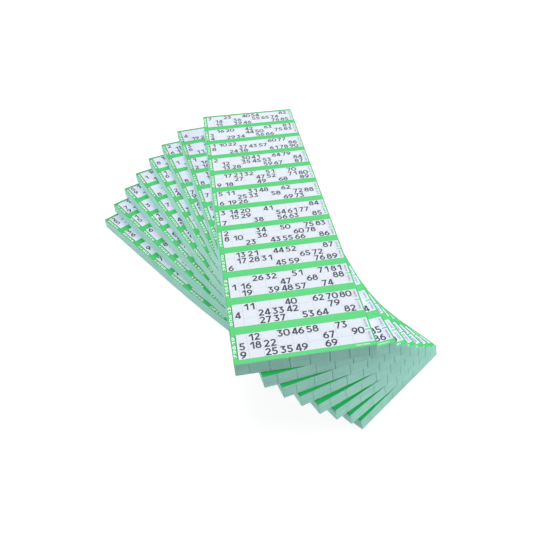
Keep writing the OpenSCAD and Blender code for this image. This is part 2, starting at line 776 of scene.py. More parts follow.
@dataclass(frozen=True)
class TicketGrid:
    """The sizes of the tickets down a leaf, and where their parts fall."""

    width: float
    length: float
    tickets: int = 12
    rows: int = 3
    columns: int = 9
    far_border: float = 2.7 * MM
    near_border: float = 3.6 * MM
    right_border: float = 1.1 * MM
    left_margin: float = 3.6 * MM
    band: float = 7.0 * MM
    first_column: float = 7.4 * MM
    stub: float = 3.6 * MM
    stub_tick: float = 1.1 * MM
    line: float = 0.25 * MM

    @property
    def pitch(self) -> float:
        """From one ticket to the next."""
        return (self.length - self.far_border - self.near_border + self.band) / self.tickets

    @property
    def height(self) -> float:
        """The height of one ticket."""
        return self.pitch - self.band

    @property
    def row(self) -> float:
        """The height of one row."""
        return self.height / self.rows

    @property
    def stub_left(self) -> float:
        """Where the stub boxes start."""
        return self.width - self.right_border - self.stub

    def near(self, ticket: int) -> float:
        """Gives the near edge of a ticket, counted from 0 at the far end."""
        return self.length - self.far_border - ticket * self.pitch - self.height

    def left(self, column: int) -> float:
        """Gives the left edge of a column.

        Args:
            column: The column, counted from 0.

        Returns:
            How far it lies from the leaf's left edge.
        """
        if column == 0:
            return self.left_margin
        wide = (self.stub_left - self.left_margin - self.first_column) / (self.columns - 1)
        return self.left_margin + self.first_column + (column - 1) * wide

    def cuts_across(self) -> list[float]:
        """Finds every place across the leaf where the print changes.

        Returns:
            The places, from the leaf's left edge.
        """
        half = self.line / 2
        lines = [
            self.left(column) + side
            for column in range(1, self.columns)
            for side in (-half, half)
        ]
        ends = [self.left_margin + half, self.stub_left - half, self.stub_left + half]
        return [*lines, *ends, self.width - self.right_border]

    def cuts_along(self) -> list[float]:
        """Finds every place along the leaf where the print changes.

        Returns:
            The places, from the leaf's near edge.
        """
        half = self.line / 2
        stub_box = (self.height - self.stub_tick) / 2
        found = []
        for ticket in range(self.tickets):
            near = self.near(ticket)
            found += [near + half, near + self.height - half]
            found += [
                near + row * self.row + side
                for row in range(1, self.rows)
                for side in (-half, half)
            ]
            found += [near + stub_box, near + stub_box + self.stub_tick]
        return found

    def ink_at(self, spot: Vector) -> Ink:
        """Says what covers the leaf at a spot.

        Args:
            spot: The spot, in the pad's own frame.

        Returns:
            The ink.
        """
        half = self.line / 2
        for ticket in range(self.tickets):
            up = spot.y - self.near(ticket)
            if not half < up < self.height - half:
                continue
            if self.stub_left + half < spot.x < self.width - self.right_border:
                on_tick = abs(up - self.height / 2) < self.stub_tick / 2
                return Ink.GREEN if on_tick else Ink.BARE
            if self.stub_left - half < spot.x <= self.stub_left + half:
                return Ink.LINE
            if not self.left_margin + half < spot.x < self.stub_left - half:
                return Ink.GREEN
            on_row = any(abs(up - row * self.row) < half for row in range(1, self.rows))
            on_column = any(
                abs(spot.x - self.left(column)) < half for column in range(1, self.columns)
            )
            return Ink.LINE if on_row or on_column else Ink.BARE
        return Ink.GREEN


TOP_PAD_ROWS = (
    ("7 23 40 54 82", "14 36 55 65 74", "15 39 46 76 85"),
    ("16 20 42 63 81", "3 44 50 75 83", "4 29 34 56 66"),
    ("1 10 22 60 77", "8 37 43 57 86", "24 38 61 78 90"),
    ("2 30 41 64 79", "12 35 45 53 84", "13 28 59 67 87"),
    ("17 21 32 51 70", "27 47 52 71 80", "9 18 49 68 89"),
    ("5 11 31 48 62", "25 33 58 72 88", "6 19 26 69 73"),
    ("3 14 20 41 84", "15 29 54 61 77", "7 38 56 63 85"),
    ("2 34 50 75 83", "8 10 36 60 78", "23 43 55 66 86"),
    ("13 21 44 52 87", "17 28 31 65 72", "6 45 59 76 89"),
    ("26 32 51 71 81", "1 16 47 68 88", "19 39 48 57 74"),
    ("11 40 62 70 80", "4 24 33 42 79", "27 37 53 64 82"),
    ("12 30 46 58 73", "5 18 22 67 90", "9 25 35 49 69"),
)

# The first column of the first six tickets of each lower pad, as far as it shows beside the pad
# above: the three cells of a ticket from the top, with a dot for an empty one
LOWER_PAD_UNITS = {
    2: ".4. 36. 1.2 ..8 .7. 5.9",
    3: "2.6 .1. ..8 .79 45. 3..",
    4: ".8. 16. .24 ..3 .7. 5.9",
    5: ".1. ..8 .7. .45 26. 3.9",
    6: "59. .3. 18. .67 2.. .4.",
    7: ".79 15. 6.. 8.. .2. 3.4",
    8: "25. 36. .9. 7.. 4.. 1.8",
}
# Other columns that show, by ticket and column: last digits, or x where only the first one shows
LOWER_PAD_OTHERS = {
    2: {
        (0, 1): "..9",
        (1, 1): "..1",
        (2, 1): ".68",
        (3, 1): "xx.",
        (10, 8): "..4",
        (11, 8): ".56",
    },
    3: {(0, 1): ".xx"},
    4: {(0, 1): "x.x"},
    5: {(0, 1): "x.x"},
    6: {(0, 1): "x.x"},
    7: {(0, 1): "x.x"},
    8: {(0, 1): ".xx"},
}

Row = list[int]
Seen = dict[tuple[int, int], str]


@dataclass(frozen=True)
class Numbers:
    """Deals the numbers 1 to 90 over strips of six tickets, as bingo does."""

    highest: int = 90
    columns: int = 9
    strip: int = 6
    strips: int = 2
    rows: int = 3
    per_row: int = 5

    def column_of(self, number: int) -> int:
        """Gives the column that a number belongs in."""
        return min(number // 10, self.columns - 1)

    def printed(self) -> list[list[Row]]:
        """Gives the rows of the pad on top, whose tickets can all be read."""
        return [[[int(word) for word in row.split()] for row in rows] for rows in TOP_PAD_ROWS]

    def seen(self, pad: int) -> Seen:
        """Gives the cells of a lower pad that show.

        Args:
            pad: The pad's number.

        Returns:
            The three cells of each column that shows, by ticket and column.
        """
        units = LOWER_PAD_UNITS.get(pad, "").split()
        found = {(ticket, 0): cells for ticket, cells in enumerate(units)}
        return found | LOWER_PAD_OTHERS.get(pad, {})

    def _shares(self, luck: random.Random, seen: Seen) -> list[list[int]] | None:
        """Decides how many numbers of each column go to each ticket of a strip.

        Args:
            luck: Where the choices come from.
            seen: The cells that are settled already.

        Returns:
            A row of counts for each ticket, or None where a ticket couldn't be filled.
        """
        full = self.rows * self.per_row
        counts = [
            [
                self.rows - seen[ticket, column].count(".") if (ticket, column) in seen else 1
                for column in range(self.columns)
            ]
            for ticket in range(self.strip)
        ]
        left = [
            len(self._pile(column)) - sum(row[column] for row in counts)
            for column in range(self.columns)
        ]
        for column in sorted(range(self.columns), key=lambda c: (-left[c], luck.random())):
            for _ in range(left[column]):
                can_take = [
                    ticket
                    for ticket in range(self.strip)
                    if (ticket, column) not in seen
                    and counts[ticket][column] < self.rows
                    and sum(counts[ticket]) < full
                ]
                if not can_take:
                    return None
                fewest = min(sum(counts[ticket]) for ticket in can_take)
                near = [ticket for ticket in can_take if sum(counts[ticket]) <= fewest + 1]
                counts[luck.choice(near)][column] += 1
        return counts if all(sum(row) == full for row in counts) else None

    def _pile(self, column: int) -> list[int]:
        """Gives every number of a column."""
        every_one = range(1, self.highest + 1)
        return [number for number in every_one if self.column_of(number) == column]

    def _set_out(
        self, held: list[list[int]], places: dict[int, list[int]], luck: random.Random
    ) -> list[Row]:
        """Sets out one ticket's numbers in its rows.

        Args:
            held: The ticket's numbers, column by column, in rising order.
            places: The rows of the columns that are settled already.
            luck: Where the choices come from.

        Returns:
            The rows.
        """
        room = [self.per_row] * self.rows
        rows: list[Row] = [[] for _ in room]

        def order(column: int) -> tuple[bool, int, float]:
            """Puts settled columns first, and then full ones."""
            return (column not in places, -len(held[column]), luck.random())

        for column in sorted(range(self.columns), key=order):
            roomy = sorted(range(self.rows), key=lambda row: (-room[row], luck.random()))
            chosen = places.get(column, sorted(roomy[: len(held[column])]))
            for number, row in zip(held[column], chosen):
                rows[row].append(number)
                room[row] -= 1
        return [sorted(row) for row in rows]

    def _strip(self, luck: random.Random, seen: Seen) -> list[list[Row]] | None:
        """Deals one strip of six tickets.

        Args:
            luck: Where the choices come from.
            seen: The cells that are settled already.

        Returns:
            The rows of each ticket, or None where they didn't come out even.
        """
        counts = self._shares(luck, seen)
        if counts is None:
            return None
        settled = {
            key: [self._pile(key[1])[0] // 10 * 10 + int(cell) for cell in cells if cell.isdigit()]
            for key, cells in seen.items()
        }
        used = {number for numbers in settled.values() for number in numbers}
        piles = [
            [number for number in self._pile(column) if number not in used]
            for column in range(self.columns)
        ]
        for pile in piles:
            luck.shuffle(pile)
        tickets = []
        for ticket, count in enumerate(counts):
            held = []
            for column in range(self.columns):
                fixed = settled.get((ticket, column), [])
                drawn = [piles[column].pop() for _ in range(count[column] - len(fixed))]
                held.append(sorted(fixed + drawn))
            places = {
                column: [row for row, cell in enumerate(cells) if cell != "."]
                for (number, column), cells in seen.items()
                if number == ticket
            }
            tickets.append(self._set_out(held, places, luck))
        even = all(len(row) == self.per_row for rows in tickets for row in rows)
        return tickets if even else None

    def deal(self, seed: int, seen: Seen | None = None) -> list[list[Row]]:
        """Deals the strips of one leaf.

        Args:
            seed: Settles every choice, so that a leaf is the same at each run.
            seen: The cells that are settled already.

        Returns:
            Three rows for each of twelve tickets.
        """
        luck = random.Random(seed)
        tickets: list[list[Row]] = []
        while len(tickets) < self.strips * self.strip:
            first = len(tickets)
            here = {
                (ticket - first, column): cells
                for (ticket, column), cells in (seen or {}).items()
                if first <= ticket < first + self.strip
            }
            tickets += self._strip(luck, here) or []
        return tickets


@dataclass(frozen=True)
class Straight:
    """A straight run of the pen."""

    length: float


@dataclass(frozen=True)
class Bend:
    """A run of the pen round a bend, to the left where the angle is positive."""

    radius: float
    angle: float


@dataclass(frozen=True)
class Stroke:
    """One stroke of the pen: where it starts, which way it heads, and its runs."""

    x: float
    y: float
    heading: float
    runs: tuple[Straight | Bend, ...]
    right_limit: float | None = None


FIGURES: dict[str, tuple[Stroke, ...]] = {
    "0": (
        Stroke(
            0.595, 0.35, 90, (Straight(0.3), Bend(0.265, 180), Straight(0.3), Bend(0.265, 180))
        ),
    ),
    "1": (
        Stroke(0.5, 0, 90, (Straight(1),)),
        Stroke(0.16, 0.66, 42, (Straight(0.6),), 0.5),
    ),
    "2": (
        Stroke(0.0851, 0.7476, 75, (Bend(0.2225, -205), Straight(0.6))),
        Stroke(0.02, 0.09, 0, (Straight(0.59),)),
    ),
    "3": (
        Stroke(0.03, 0.91, 0, (Straight(0.54),)),
        Stroke(0.515, 0.96, -128, (Straight(0.5),), 0.57),
        Stroke(0.25, 0.5496, 5, (Bend(0.2325, -250),)),
    ),
    "4": (
        Stroke(0.47, 0, 90, (Straight(1),)),
        Stroke(0.01, 0.25, 0, (Straight(0.65),)),
        Stroke(0.47, 1.08, -115.5, (Straight(0.94),), 0.5),
    ),
    "5": (
        Stroke(0.1, 0.91, 0, (Straight(0.47),)),
        Stroke(0.15, 1, -92, (Straight(0.5),)),
        Stroke(0.1241, 0.5158, 40, (Bend(0.2425, -285),)),
    ),
    "6": (
        Stroke(0.5625, 0.33, 90, (Bend(0.2425, 360),)),
        Stroke(0.0775, 0.33, 90, (Bend(0.6, -75),)),
    ),
    "7": (
        Stroke(0.02, 0.91, 0, (Straight(0.6),)),
        Stroke(0.545, 0.98, -110, (Straight(1.15),), 0.62),
    ),
    "8": (
        Stroke(0.5025, 0.72, 90, (Bend(0.1925, 360),)),
        Stroke(0.5525, 0.33, 90, (Bend(0.2425, 360),)),
    ),
}


@dataclass
class FigurePen:
    """Draws the ten figures, one unit high and one deep, with a pen of even width."""

    pen: float = 0.18
    advance: float = 0.72
    # Degrees of a bend that one facet takes
    bend_step: float = 26.0
    merge: float = 1e-4
    trim: float = 1e-5
    # Width of the figures, which 9 is turned about because it is a 6 on its head
    wide: float = 0.64

    def _stroke(self, stroke: Stroke) -> bpy.types.Object:
        """Draws one stroke as a closed solid.

        Args:
            stroke: The stroke.

        Returns:
            The solid.
        """
        let_go()
        bpy.ops.mesh.primitive_plane_add(size=self.pen, location=(0, 0, 0))
        bpy.ops.object.transform_apply(location=True, rotation=True, scale=True)
        piece = bpy.context.object
        heading = math.radians(stroke.heading)
        spot = Vector((stroke.x, stroke.y, 0))
        with editing(piece, Part.VERT):
            # The far side of the plane becomes the pen's nib, and the rest goes
            pick(Part.VERT, lambda co, _normal: co.x < 0)
            bpy.ops.mesh.delete(type="VERT")
            bpy.ops.mesh.select_all(action="SELECT")
            bpy.ops.transform.translate(value=(-self.pen / 2, 0, 0))
            shape = bmesh.from_edit_mesh(piece.data)
            lay = Matrix.Translation(spot) @ Matrix.Rotation(heading, 4, "Z")
            bmesh.ops.transform(shape, matrix=lay, verts=shape.verts)
            bmesh.update_edit_mesh(piece.data)
            for run in stroke.runs:
                ahead = Vector((math.cos(heading), math.sin(heading), 0))
                if isinstance(run, Straight):
                    step = ahead * run.length
                    bpy.ops.mesh.extrude_region_move(TRANSFORM_OT_translate={"value": step})
                    spot = spot + step
                    continue
                angle = math.radians(run.angle)
                side = Vector((-ahead.y, ahead.x, 0)) * math.copysign(run.radius, angle)
                steps = max(2, round(abs(run.angle) / self.bend_step))
                bpy.ops.mesh.spin(
                    steps=steps, angle=-angle, center=spot + side, axis=(0, 0, 1)
                )
                spot = spot + side - Matrix.Rotation(angle, 3, "Z") @ side
                heading += angle
            bpy.ops.mesh.select_all(action="SELECT")
            bpy.ops.mesh.remove_doubles(threshold=self.merge)
            # The foot and the head of the line of figures, and the limit at the right
            limits = [(Vector(), -ALONG), (ALONG, ALONG)]
            if stroke.right_limit is not None:
                limits.append((ACROSS * stroke.right_limit, ACROSS))
            for limit, outward in limits:
                bpy.ops.mesh.select_all(action="SELECT")
                bpy.ops.mesh.bisect(
                    plane_co=limit, plane_no=outward, clear_outer=True, threshold=self.trim
                )
            thicken(1.0)
        return piece

    def draw(self, figure: str) -> bpy.types.Object:
        """Draws one figure from its strokes.

        Args:
            figure: The figure, 0 to 9.

        Returns:
            The figure as one closed solid.
        """
        strokes = [self._stroke(stroke) for stroke in FIGURES["6" if figure == "9" else figure]]
        whole = strokes[0]
        for other in strokes[1:]:
            take(whole)
            join = whole.modifiers.new("join", "BOOLEAN")
            join.operation, join.solver, join.object = "UNION", "EXACT", other
            bpy.ops.object.modifier_apply(modifier=join.name)
        drop(strokes[1:])
        with editing(whole):
            settle()
            bpy.ops.mesh.dissolve_limited(angle_limit=math.radians(1))
        if figure == "9":
            over = Matrix.Rotation(math.pi, 4, "Z")
            whole.matrix_world = Matrix.Translation((self.wide, 1, 0)) @ over
            take(whole)
            bpy.ops.object.transform_apply(location=True, rotation=True, scale=True)
        whole.name = f"figure_{figure}"
        return whole

    def draw_all(self) -> dict[str, bpy.types.Object]:
        """Draws the ten figures."""
        return {figure: self.draw(figure) for figure in "0123456789"}

    def write(
        self,
        patterns: dict[str, bpy.types.Object],
        word: str,
        start: Matrix,
        height: float,
        depth: float,
        spread: float = 1.0,
        stretch: float = 1.03,
    ) -> list[Placed]:
        """Sets out the figures of one number.

        Args:
            patterns: The ten figures.
            word: The number's figures.
            start: The place and the turn of the line that it is written on.
            height: The height of the figures.
            depth: How deep the ink is.
            spread: How far apart the figures stand, against the pen's own advance.
            stretch: How much wider the figures are than the pen draws them.

        Returns:
            Each figure with its place.
        """
        size = Matrix.Diagonal((height * stretch, height, depth, 1))
        gap = self.advance * height * spread
        found = []
        for number, figure in enumerate(word):
            left = (number + 0.5) * gap - self.wide * height * stretch / 2
            found.append((patterns[figure], start @ Matrix.Translation((left, 0, 0)) @ size))
        return found


@dataclass
class PrintedLeaf:
    """One printed leaf: thin paper with its print standing on it.

    The ink of the serial and stub numbers is given in shares of the green ink's height.
    """

    grid: TicketGrid
    nicks: Nicks
    pen: FigurePen
    figures: dict[str, bpy.types.Object]
    thickness: float = 0.095 * MM
    ink: float = 0.02 * MM
    line_ink: float = 0.008 * MM
    figure_ink: float = 0.012 * MM
    figure_height: float = 6.25 * MM
    figure_base: float = 0.42 * MM
    first_figure: float = 0.5 * MM
    single_figure: float = 1.3 * MM
    # How deep the foot of a figure lies in what it is printed on, as a share of its ink
    sunk: float = 0.2
    margin_numbers: tuple[int, int] = (10000, 99999)
    margin_height: float = 2.2 * MM
    margin_right: float = 2.75 * MM
    margin_spread: float = 2.42
    margin_stretch: float = 2.25
    margin_ink: float = 0.35
    stub_numbers: tuple[int, int] = (100000, 999999)
    stub_height: float = 1.8 * MM
    stub_ink: float = 0.6
    form_height: float = 1.15 * MM
    form_figures: int = 10

    def model(self) -> bpy.types.Object:
        """Models the sheet that every printed leaf is a copy of.

        Returns:
            The pattern, with its underside at 0.
        """
        grid = self.grid
        sheet = start_sheet("printed_leaf", grid.width, grid.length)
        for finish in (PAPER, GREEN_INK, PALE_LINE, EDGE):
            sheet.data.materials.append(finish.build())
        with editing(sheet):
            cut(every, grid.cuts_across(), ACROSS)
            cut(every, grid.cuts_along(), ALONG)
            self.nicks.notch(grid.width, grid.near_border / 2)
            thicken(self.thickness - self.ink)
            pick(Part.FACE, lambda co, _normal: co.z < CLOSE)
            bpy.ops.mesh.dissolve_faces()
            pick(Part.FACE, lambda _co, normal: abs(normal.z) < LEVEL)
            self._dip(sheet, Ink.CUT)
            for ink, rise in ((Ink.GREEN, self.ink), (Ink.LINE, self.line_ink)):
                pick(
                    Part.FACE,
                    lambda co, normal, ink=ink: normal.z > LEVEL
                    and co.z < self.thickness - self.ink + CLOSE
                    and grid.ink_at(co) is ink,
                )
                self._dip(sheet, ink)
                bpy.ops.mesh.extrude_region_move(
                    TRANSFORM_OT_translate={"value": (0, 0, rise)}
                )
            settle()
        return sheet

    def _dip(self, sheet: bpy.types.Object, ink: Ink) -> None:
        """Puts an ink on the faces that are selected."""
        sheet.active_material_index = int(ink)
        bpy.ops.object.material_slot_assign()

    def tickets(
        self, name: str, rows: list[list[Row]], place: Matrix, numbers: Numbers
    ) -> bpy.types.Object:
        """Prints the figures of a leaf's tickets.

        Args:
            name: The piece's name.
            rows: Three rows for each ticket.
            place: Where the leaf's underside lies.
            numbers: Knows each number's column.

        Returns:
            The figures, as one piece.
        """
        grid = self.grid
        foot = self.thickness - self.ink - self.sunk * self.figure_ink
        found = []
        for ticket, ticket_rows in enumerate(rows):
            for line, row in enumerate(ticket_rows):
                below = grid.rows - 1 - line
                base = grid.near(ticket) + below * grid.row + self.figure_base
                for number in row:
                    column = numbers.column_of(number)
                    inset = self.first_figure if column else self.single_figure
                    start = place @ Matrix.Translation((grid.left(column) + inset, base, foot))
                    found += self.pen.write(
                        self.figures, str(number), start, self.figure_height, self.figure_ink
                    )
        return lay_out(name, found, FIGURE_INK)

    def margin(self, name: str, place: Matrix, seed: int) -> bpy.types.Object:
        """Prints the plain serial numbers of the left margin and of the near border.

        Args:
            name: The piece's name.
            place: Where the leaf's underside lies.
            seed: Settles the numbers.

        Returns:
            The figures, as one piece.
        """
        luck = random.Random(seed)
        grid = self.grid
        foot = self.thickness - self.sunk * self.ink
        depth = self.margin_ink * self.ink
        gap = self.pen.advance * self.margin_height * self.margin_spread
        found = []
        for ticket in range(grid.tickets):
            # The number reads up the margin, in the middle of the ticket's height
            word = str(luck.randrange(*self.margin_numbers))
            low = grid.near(ticket) + (grid.height - gap * len(word)) / 2
            spot = Matrix.Translation((self.margin_right, low, foot))
            found += self.pen.write(
                self.figures,
                word,
                place @ spot @ Matrix.Rotation(math.pi / 2, 4, "Z"),
                self.margin_height,
                depth,
                self.margin_spread,
                self.margin_stretch,
            )
        # One more runs along the near border, up to its right end
        word = "".join(str(luck.randrange(10)) for _ in range(self.form_figures))
        run = self.pen.advance * self.form_height * self.margin_spread / 2 * len(word)
        base = (grid.near_border - self.form_height) / 2
        found += self.pen.write(
            self.figures,
            word,
            place @ Matrix.Translation((grid.stub_left - run, base, foot)),
            self.form_height,
            depth,
            self.margin_spread / 2,
            self.margin_stretch / 2,
        )
        return lay_out(name, found, MARGIN_BARE)

    def stubs(self, name: str, place: Matrix, seed: int) -> bpy.types.Object:
        """Prints the fine numbers that read up the two stub boxes of each ticket.

        Args:
            name: The piece's name.
            place: Where the leaf's underside lies.
            seed: Settles the numbers.

        Returns:
            The figures, as one piece.
        """
        luck = random.Random(seed)
        grid = self.grid
        foot = self.thickness - (1 + self.sunk) * self.ink
        box = (grid.height - grid.stub_tick) / 2
        gap = self.pen.advance * self.stub_height
        right = grid.stub_left + (grid.stub + self.stub_height) / 2
        found = []
        for ticket in range(grid.tickets):
            for half in (0, 1):
                word = str(luck.randrange(*self.stub_numbers))
                low = grid.near(ticket) + half * (box + grid.stub_tick)
                low += (box - gap * len(word)) / 2
                spot = Matrix.Translation((right, low, foot))
                found += self.pen.write(
                    self.figures,
                    word,
                    place @ spot @ Matrix.Rotation(math.pi / 2, 4, "Z"),
                    self.stub_height,
                    self.stub_ink * self.ink,
                )
        return lay_out(name, found, STUB_INK)


@dataclass
class MarginLine:
    """The fine dark lines: beside the first column of each ticket, and round the leaf's rim."""

    grid: TicketGrid
    right: float = 3.5 * MM
    width: float = 0.45 * MM
    depth: float = 0.006 * MM
    rim: float = 0.22 * MM
    far_rim: float = 1.0 * MM
    rim_inset: float = 0.05 * MM

    def model(self) -> bpy.types.Object:
        """Models one line, the height of a ticket.

        Returns:
            The pattern.
        """
        line = start_sheet("margin_line", self.width, self.grid.height)
        with editing(line):
            thicken(self.depth)
            pick(Part.FACE, upward)
            bpy.ops.mesh.inset(thickness=self.width / 6)
        return line

    def places(self, line: bpy.types.Object, leaf: Matrix, height: float) -> list[Placed]:
        """Gives the place of each line on a leaf.

        Args:
            line: The pattern.
            leaf: Where the leaf's underside lies.
            height: The height of the ink that the lines are printed on.

        Returns:
            The pattern with each of its places.
        """
        grid = self.grid
        inset = self.rim_inset
        part = grid.length / grid.tickets
        far = grid.length - inset - self.far_rim
        # The left and near edges of each line, its width and its length
        boxes = [(inset, far, grid.width - 2 * inset, self.far_rim)]
        for ticket in range(grid.tickets):
            boxes.append((self.right - self.width, grid.near(ticket), self.width, grid.height))
            # The sides of the rim are in short lengths, so that they bow with the leaf
            low = ticket * part
            for left in (inset, grid.width - inset - self.rim):
                boxes.append((left, low, self.rim, min(part, far - low)))
        return [
            (
                line,
                leaf
                @ Matrix.Translation((left, low, height))
                @ Matrix.Diagonal((width / self.width, length / grid.height, 1, 1)),
            )
            for left, low, width, length in boxes
        ]


# The blocks, the gum and the whole fan


@dataclass
class LeafBlock:
    """The leaves under the top one, each a sheet of its own, slipped out of line with the rest."""

    nicks: Nicks
    leaves_per_lift: int = 20
    pitch: float = 0.095 * MM
    thickness: float = 0.085 * MM
    creep: float = 2.0 * MM
    slip: float = 0.4 * MM
    jog: float = 0.06 * MM
    scatter: float = 0.025 * MM
    corner: float = 0.5 * MM
    # The lowest leaves are held back at the near edge by the pad below
    held_leaves: int = 4
    held_back: float = 1.2 * MM
    side_cuts: int = 12

    def model(self, width: float, length: float) -> bpy.types.Object:
        """Models the sheet that every leaf of a block is a copy of.

        Args:
            width: The width of a leaf.
            length: The length of a leaf.

        Returns:
            The pattern, with its underside at 0.
        """
        sheet = start_sheet("cut_leaf", width, length)
        sheet.data.materials.append(EDGE.build())
        with editing(sheet):
            self.nicks.notch(width, length)
            step = length / self.side_cuts
            cut(every, [step * number for number in range(1, self.side_cuts)], ALONG)
            settle()
            bpy.ops.mesh.dissolve_faces()
            pick(
                Part.VERT,
                lambda co, _normal: co.y < CLOSE
                and (co.x < CLOSE or co.x > width - TOUCHING),
            )
            bpy.ops.mesh.bevel(
                offset=self.corner, segments=2, affect="VERTICES", offset_type="OFFSET"
            )
            thicken(self.thickness)
        return sheet

    def stack(
        self, name: str, sheet: bpy.types.Object, place: PadPlace, seed: int
    ) -> bpy.types.Object:
        """Stacks the leaves of one block.

        Args:
            name: The piece's name.
            sheet: The pattern.
            place: Where the pad lies.
            seed: Settles how the leaves lie on each other.

        Returns:
            The block, as one piece.
        """
        luck = random.Random(seed)
        count = round((place.block_top - place.low) / self.pitch)
        found = []
        jog_x = jog_y = 0.0
        for leaf in range(count):
            if leaf % self.leaves_per_lift == 0:
                jog_x, jog_y = (luck.uniform(-self.jog, self.jog) for _ in range(2))
            slipped = 1 - leaf / count
            creep = self.creep * slipped + jog_y + luck.uniform(-1, 1) * self.scatter
            slip = self.slip * slipped + jog_x + luck.uniform(-1, 1) * self.scatter
            if leaf < self.held_leaves:
                creep -= self.held_back
            # The far edge is held in the gum, so the near edge slips by a turn and a stretch
            turn = Matrix.Rotation(slip / place.length, 4, "Z")
            hold = Matrix.Translation((0, place.length, 0))
            spread = Matrix.Diagonal((1, 1 + creep / place.length, 1, 1))
            height = place.low + leaf * self.pitch + (self.pitch - self.thickness) / 2
            found.append((sheet, place.matrix(height) @ hold @ turn @ spread @ hold.inverted()))
        return lay_out(name, found)


@dataclass
class GumFilm:
    """The film of padding gum over the far edge of a block, brushed on and a little uneven."""

    thickness: float = 0.4 * MM
    ridges: int = 40
    # Where the film is cut across its height, as shares of it
    bands: tuple[float, ...] = (0.08, 0.3, 0.55, 0.8, 0.94)
    uneven: float = 0.12 * MM
    # How much of the thickness is lost at the rim and at its corners
    rim_loss: float = 0.4
    corner_loss: float = 0.55
    smooth: float = 50.0

    def model(self, width: float, length: float, height: float) -> bpy.types.Object:
        """Models the film of one block in the pad's own frame.

        Args:
            width: The width of a leaf.
            length: The length of a leaf.
            height: The height of the block.

        Returns:
            The pattern, with its foot at 0.
        """
        film = start_sheet("gum_film", width, self.thickness)
        film.data.materials.append(GUM.build())
        luck = random.Random(Seed.GUM)
        with editing(film):
            step = width / self.ridges
            cut(every, [step * number for number in range(1, self.ridges)], ACROSS)
            thicken(height)
            cut(every, [height * share for share in self.bands], UPRIGHT)
            settle()
            shape = bmesh.from_edit_mesh(film.data)
            for point in shape.verts:
                if point.co.y < self.thickness / 2:
                    continue
                at_end = min(point.co.x, width - point.co.x) < step / 2
                at_rim = min(point.co.z, height - point.co.z) < height * self.bands[0] / 2
                if at_end and at_rim:
                    point.co.y -= self.thickness * self.corner_loss
                elif at_end or at_rim:
                    point.co.y -= self.thickness * self.rim_loss
                else:
                    point.co.y -= luck.uniform(0, self.uneven)
            bmesh.update_edit_mesh(film.data)
        film.matrix_world = Matrix.Translation((0, length, 0))
        take(film)
        bpy.ops.object.transform_apply(location=True, rotation=True, scale=True)
        bpy.ops.object.shade_smooth_by_angle(angle=math.radians(self.smooth))
        return film


@dataclass
class Fan:
    """The eight pads, from the patterns that all of them are copies of."""

    frame: dict
    pads: int = 8
    numbers: Numbers = Numbers()
    nicks: Nicks = Nicks()
    leaf: PrintedLeaf = field(init=False)
    line: MarginLine = field(init=False)
    block: LeafBlock = field(init=False)
    patterns: dict[str, bpy.types.Object] = field(init=False)

    def build(self) -> None:
        """Models the patterns, then copies them to each pad of the fan."""
        first = PadPlace.read(self.frame, 1)
        grid = TicketGrid(first.width, first.length)
        pen = FigurePen()
        figures = pen.draw_all()
        self.leaf = PrintedLeaf(grid, self.nicks, pen, figures)
        self.line = MarginLine(grid)
        self.block = LeafBlock(self.nicks)
        self.patterns = {
            "leaf": self.leaf.model(),
            "line": self.line.model(),
            "sheet": self.block.model(first.width, first.length),
            "gum": GumFilm().model(first.width, first.length, first.block_top - first.low),
        }
        for pad in range(1, self.pads + 1):
            self._pad(pad)
        drop([*figures.values(), *self.patterns.values()])

    def _pad(self, pad: int) -> None:
        """Builds one pad.

        Args:
            pad: Its number, from 1 at the top of the pile.
        """
        place = PadPlace.read(self.frame, pad)
        on_top = pad == 1
        bow = Bow(pads=self.pads)
        body = f"pad_{pad}"
        if on_top:
            rows = self.numbers.printed()
        else:
            rows = self.numbers.deal(Seed.DEAL + pad, self.numbers.seen(pad))
        sheets = self._printed(body + "_printed", place.matrix(place.leaf_low), rows, pad)
        if not on_top:
            # Painted light: the lower pads get the brighter, bluer paper, against the shade of the
            # pad above
            sheets[0].data.materials[Ink.BARE] = LOWER_PAPER_PAINTED_LIGHT.build()
        for sheet in sheets:
            if not on_top:
                bow.bend(sheet, place, pad)
            finish_piece(sheet, "top_leaf" if on_top else body)
        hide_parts(body + "_top_leaf")
        if on_top:
            # The leaf below is seen when the top one is lifted, so the block is a leaf shorter
            place = replace(place, block_top=place.block_top - self.block.pitch)
            rows = self.numbers.deal(Seed.DEAL)
            under = self._printed(
                body + "_second", place.matrix(place.block_top), rows, SECOND_LEAF
            )
            for sheet in under:
                finish_piece(sheet, body)
        block = self.block.stack(
            body + "_cut_leaves", self.patterns["sheet"], place, Seed.BLOCK + pad
        )
        bow.bend(block, place, pad)
        finish_piece(block, body)
        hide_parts(body + "_leaves")
        film = lay_out(body + "_gum_film", [(self.patterns["gum"], place.matrix(place.low))])
        finish_piece(film, body)
        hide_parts(body + "_gum")

    def _printed(
        self, name: str, place: Matrix, rows: list[list[Row]], seed: int
    ) -> list[bpy.types.Object]:
        """Copies the printed leaf and prints its numbers.

        Args:
            name: The leaf's name, which its pieces' names start with.
            place: Where the leaf's underside lies.
            rows: The numbers of its tickets.
            seed: Tells its serial numbers from those of the other leaves.

        Returns:
            The leaf, its figures, its margin, its stubs and its margin lines.
        """
        lines = self.line.places(self.patterns["line"], place, self.leaf.thickness)
        return [
            lay_out(name + "_leaf", [(self.patterns["leaf"], place)]),
            self.leaf.tickets(name + "_figures", rows, place, self.numbers),
            self.leaf.margin(name + "_margin_figures", place, Seed.MARGIN + seed),
            self.leaf.stubs(name + "_stub_figures", place, Seed.STUBS + seed),
            lay_out(name + "_margin_lines", lines, MARGIN_LINE),
        ]


def finish_piece(piece: bpy.types.Object, body: str) -> None:
    """Makes a piece ride on its body and reports it.

    Args:
        piece: The piece.
        body: The body that it moves with.
    """
    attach(piece, body)
    LOG.info("%s: %d faces, rides on %s", piece.name, len(piece.data.polygons), body)


# The studio


